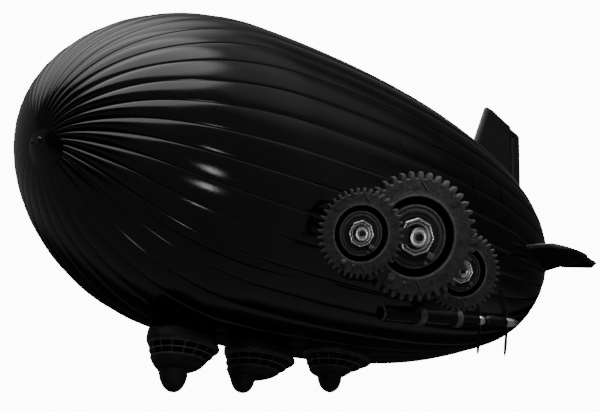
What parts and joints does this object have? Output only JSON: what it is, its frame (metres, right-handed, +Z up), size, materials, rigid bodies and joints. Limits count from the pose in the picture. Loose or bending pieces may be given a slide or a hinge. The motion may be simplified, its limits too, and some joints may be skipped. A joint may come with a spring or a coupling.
{
  "type": "airship",
  "caption": "Blunt-nosed airship with a ribbed envelope, gondolas under its keel, tail fins, tandem pusher engine pods and toothed wheels on its flanks.",
  "frame": {"origin": "centre of volume of the envelope, where the gas holds the airship up", "axes": "+X forward along the envelope's axis to the nose, +Y to port, +Z up"},
  "size_m": [35.7145, 23.4702, 21.4696],
  "materials": {
    "envelope": "gloss-coated black airship fabric",
    "cap": "smooth black cap",
    "cabin": "satin dark grey paint",
    "fin": "satin near-black paint",
    "pod": "gloss near-black paint",
    "gear": "worn mottled casting",
    "nut": "bright machined steel",
    "propeller": "dark blades with a bright hub"
  },
  "bodies": {
    "hull": {"envelope": "envelope", "nose_cap": "cap", "tail_cap": "cap", "front_gondola_collar": "cabin", "front_gondola_cabin": "cabin", "front_gondola_belly": "cabin", "middle_gondola_collar": "cabin", "middle_gondola_cabin": "cabin", "middle_gondola_belly": "cabin", "rear_gondola_collar": "cabin", "rear_gondola_cabin": "cabin", "rear_gondola_belly": "cabin", "top_fin": "fin", "port_fin": "fin", "starboard_fin": "fin", "port_engine_wing": "pod", "port_front_pod": "pod", "port_rear_pod": "pod", "starboard_engine_wing": "pod", "starboard_front_pod": "pod", "starboard_rear_pod": "pod", "port_gear_mount": "pod", "port_gear_arm": "pod", "port_front_nut": "nut", "port_main_nut": "nut", "port_rear_nut": "nut", "starboard_gear_mount": "pod", "starboard_gear_arm": "pod", "starboard_front_nut": "nut", "starboard_main_nut": "nut", "starboard_rear_nut": "nut"},
    "rudder": {"rudder": "fin"},
    "port_elevator": {"port_elevator": "fin"},
    "starboard_elevator": {"starboard_elevator": "fin"},
    "port_front_propeller": {"port_front_propeller": "propeller"},
    "port_rear_propeller": {"port_rear_propeller": "propeller"},
    "starboard_front_propeller": {"starboard_front_propeller": "propeller"},
    "starboard_rear_propeller": {"starboard_rear_propeller": "propeller"},
    "port_front_gear": {"port_front_gear": "gear"},
    "port_main_gear": {"port_main_gear": "gear"},
    "port_rear_gear": {"port_rear_gear": "gear"},
    "starboard_front_gear": {"starboard_front_gear": "gear"},
    "starboard_main_gear": {"starboard_main_gear": "gear"},
    "starboard_rear_gear": {"starboard_rear_gear": "gear"}
  },
  "joints": [
    {"name": "rudder_turn", "type": "hinge", "parent": "hull", "child": "rudder", "pos_m": [-18.32, 0, 6], "axis": [0, 0, 1], "range_deg": [-25, 25]},
    {"name": "port_elevator_tilt", "type": "hinge", "parent": "hull", "child": "port_elevator", "pos_m": [-16.62, 5.95, -1], "axis": [0, 1, 0], "range_deg": [-20, 20]},
    {"name": "starboard_elevator_tilt", "type": "hinge", "parent": "hull", "child": "starboard_elevator", "pos_m": [-16.62, -5.95, -1], "axis": [0, 1, 0], "range_deg": [-20, 20]},
    {"name": "port_front_propeller_spin", "type": "hinge", "parent": "hull", "child": "port_front_propeller", "pos_m": [-7.40118, 7.29354, -6.5962], "axis": [-0.9854, 0.119, 0.122], "continuous": true},
    {"name": "port_rear_propeller_spin", "type": "hinge", "parent": "hull", "child": "port_rear_propeller", "pos_m": [-9.2438, 7.51615, -6.36798], "axis": [-0.9854, 0.119, 0.122], "continuous": true},
    {"name": "starboard_front_propeller_spin", "type": "hinge", "parent": "hull", "child": "starboard_front_propeller", "pos_m": [-7.40118, -9.82713, -0.36478], "axis": [-0.9854, -0.0127, 0.17], "continuous": true},
    {"name": "starboard_rear_propeller_spin", "type": "hinge", "parent": "hull", "child": "starboard_rear_propeller", "pos_m": [-9.2438, -9.85096, -0.04686], "axis": [-0.9854, -0.0127, 0.17], "continuous": true},
    {"name": "port_front_gear_spin", "type": "hinge", "parent": "hull", "child": "port_front_gear", "pos_m": [2.86261, 8.67908, -4.51457], "axis": [0.3771, 0.847, -0.3746], "continuous": true},
    {"name": "port_main_gear_spin", "type": "hinge", "parent": "hull", "child": "port_main_gear", "pos_m": [-0.22, 9.5, -4.16], "axis": [0.3771, 0.847, -0.3746], "continuous": true},
    {"name": "port_rear_gear_spin", "type": "hinge", "parent": "hull", "child": "port_rear_gear", "pos_m": [-3.28581, 9.79318, -5.3822], "axis": [0.3771, 0.847, -0.3746], "continuous": true},
    {"name": "starboard_front_gear_spin", "type": "hinge", "parent": "hull", "child": "starboard_front_gear", "pos_m": [2.86261, -9.55047, 2.12045], "axis": [0.3771, -0.8897, 0.2575], "continuous": true},
    {"name": "starboard_main_gear_spin", "type": "hinge", "parent": "hull", "child": "starboard_main_gear", "pos_m": [-0.22, -9.95142, 2.91974], "axis": [0.3771, -0.8897, 0.2575], "continuous": true},
    {"name": "starboard_rear_gear_spin", "type": "hinge", "parent": "hull", "child": "starboard_rear_gear", "pos_m": [-3.28581, -10.96162, 2.17193], "axis": [0.3771, -0.8897, 0.2575], "continuous": true}
  ]
}
